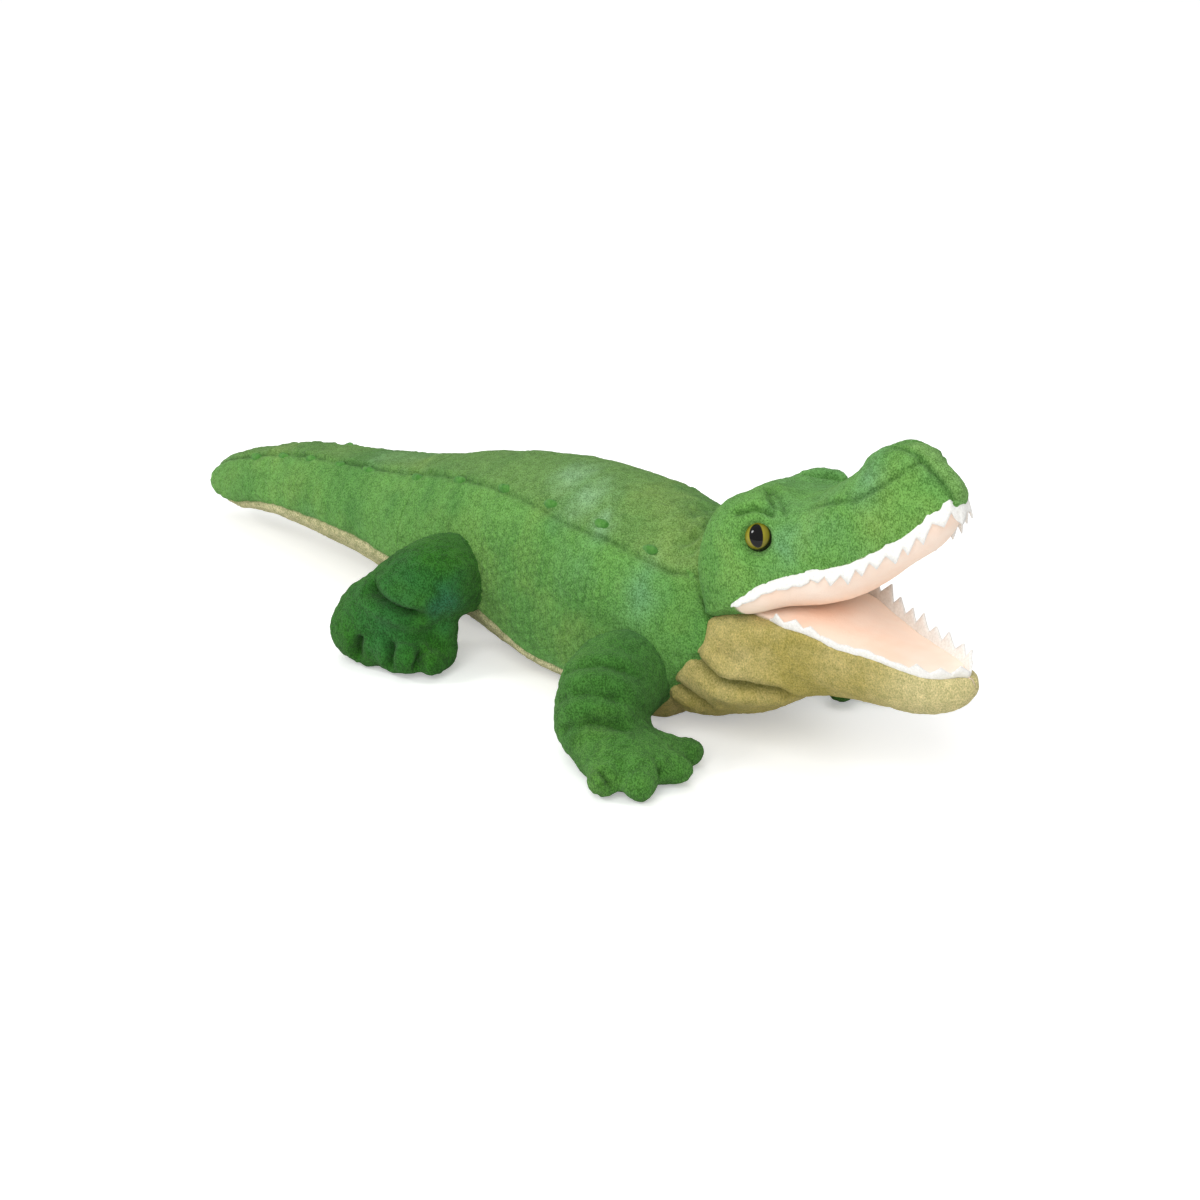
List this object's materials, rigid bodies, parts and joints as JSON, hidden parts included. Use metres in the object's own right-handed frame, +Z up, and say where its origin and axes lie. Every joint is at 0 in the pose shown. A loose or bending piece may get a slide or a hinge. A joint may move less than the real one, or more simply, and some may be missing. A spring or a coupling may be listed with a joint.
{
  "type": "plush crocodile",
  "caption": "Stuffed plush crocodile lying on its belly, with splayed legs, a tapering tail and an open mouth edged with felt teeth.",
  "frame": {"origin": "centre of the bounding box's base, on the floor under the belly", "axes": "+X towards the snout, +Y to the toy's left, +Z up"},
  "size_m": [0.5113, 0.2068, 0.154],
  "materials": {
    "back_plush": "short pile plush, mottled yellow-green",
    "side_plush": "short pile plush, mottled mid green",
    "leg_plush": "short pile plush, mottled darker green",
    "nub_plush": "short pile plush, dark green",
    "belly_plush": "short pile plush, pale beige",
    "jaw_plush": "short pile plush, olive tan",
    "mouth_lining": "smooth napped cloth, peach",
    "tooth_felt": "stiff felt, white",
    "stuffing": "polyester fibre filling, white",
    "eye_plastic": "polished, amber iris with a dark slit pupil",
    "washer_plastic": "moulded, matte white"
  },
  "bodies": {
    "torso": {"torso_fill": "stuffing", "torso_back_panel": "back_plush", "torso_side_panel_left": "side_plush", "torso_side_panel_right": "side_plush", "torso_belly_panel": "belly_plush", "torso_nub_right_1": "nub_plush", "torso_nub_right_2": "nub_plush", "torso_nub_right_3": "nub_plush", "torso_nub_right_4": "nub_plush", "torso_nub_right_5": "nub_plush", "torso_nub_right_6": "nub_plush", "torso_nub_left_1": "nub_plush", "torso_nub_left_2": "nub_plush", "torso_nub_left_3": "nub_plush", "torso_nub_left_4": "nub_plush", "torso_nub_left_5": "nub_plush", "torso_nub_left_6": "nub_plush"},
    "tail": {"tail_fill": "stuffing", "tail_back_panel": "back_plush", "tail_side_panel_left": "side_plush", "tail_side_panel_right": "side_plush", "tail_belly_panel": "belly_plush", "tail_nub_right_1": "nub_plush", "tail_nub_right_2": "nub_plush", "tail_nub_right_3": "nub_plush", "tail_nub_right_4": "nub_plush", "tail_nub_right_5": "nub_plush", "tail_nub_left_1": "nub_plush", "tail_nub_left_2": "nub_plush", "tail_nub_left_3": "nub_plush", "tail_nub_left_4": "nub_plush", "tail_nub_left_5": "nub_plush"},
    "head": {"head_fill": "stuffing", "head_top_panel": "back_plush", "head_side_panel_right": "side_plush", "head_side_panel_left": "side_plush", "palate_lining": "mouth_lining", "throat_panel": "jaw_plush", "neck_panel": "side_plush", "upper_teeth": "tooth_felt", "eye_right": "eye_plastic", "eye_left": "eye_plastic", "eye_washer_right": "washer_plastic", "eye_washer_left": "washer_plastic", "brow_right": "side_plush", "brow_left": "side_plush"},
    "jaw": {"jaw_fill": "stuffing", "throat_fold": "jaw_plush", "jaw_panel": "jaw_plush", "mouth_floor_lining": "mouth_lining", "lower_teeth": "tooth_felt"},
    "leg_front_right": {"leg_front_right_cover": "leg_plush", "leg_front_right_fill": "stuffing"},
    "leg_front_left": {"leg_front_left_cover": "leg_plush", "leg_front_left_fill": "stuffing"},
    "leg_rear_right": {"leg_rear_right_cover": "leg_plush", "leg_rear_right_fill": "stuffing"},
    "leg_rear_left": {"leg_rear_left_cover": "leg_plush", "leg_rear_left_fill": "stuffing"}
  },
  "joints": [
    {"name": "neck", "type": "hinge", "parent": "torso", "child": "head", "pos_m": [0.136, 0, 0.061], "axis": [0, 0, 1], "range_deg": [-10, 10], "stiffness_Nm_per_rad": 0.6},
    {"name": "jaw_hinge", "type": "hinge", "parent": "head", "child": "jaw", "pos_m": [0.15, 0, 0.044], "axis": [0, 1, 0], "range_deg": [-8, 6], "stiffness_Nm_per_rad": 0.5},
    {"name": "tail_root", "type": "hinge", "parent": "torso", "child": "tail", "pos_m": [-0.094, 0, 0.039], "axis": [0, 0, 1], "range_deg": [-15, 15], "stiffness_Nm_per_rad": 0.4},
    {"name": "front_leg_right", "type": "hinge", "parent": "torso", "child": "leg_front_right", "pos_m": [0.09805, -0.045, 0.03], "axis": [0, 1, 0], "range_deg": [-20, 20], "stiffness_Nm_per_rad": 0.3},
    {"name": "front_leg_left", "type": "hinge", "parent": "torso", "child": "leg_front_left", "pos_m": [0.09805, 0.045, 0.03], "axis": [0, 1, 0], "range_deg": [-20, 20], "stiffness_Nm_per_rad": 0.3},
    {"name": "rear_leg_right", "type": "hinge", "parent": "torso", "child": "leg_rear_right", "pos_m": [-0.01925, -0.045, 0.046], "axis": [0, 1, 0], "range_deg": [-20, 20], "stiffness_Nm_per_rad": 0.3},
    {"name": "rear_leg_left", "type": "hinge", "parent": "torso", "child": "leg_rear_left", "pos_m": [-0.01925, 0.045, 0.046], "axis": [0, 1, 0], "range_deg": [-20, 20], "stiffness_Nm_per_rad": 0.3}
  ]
}
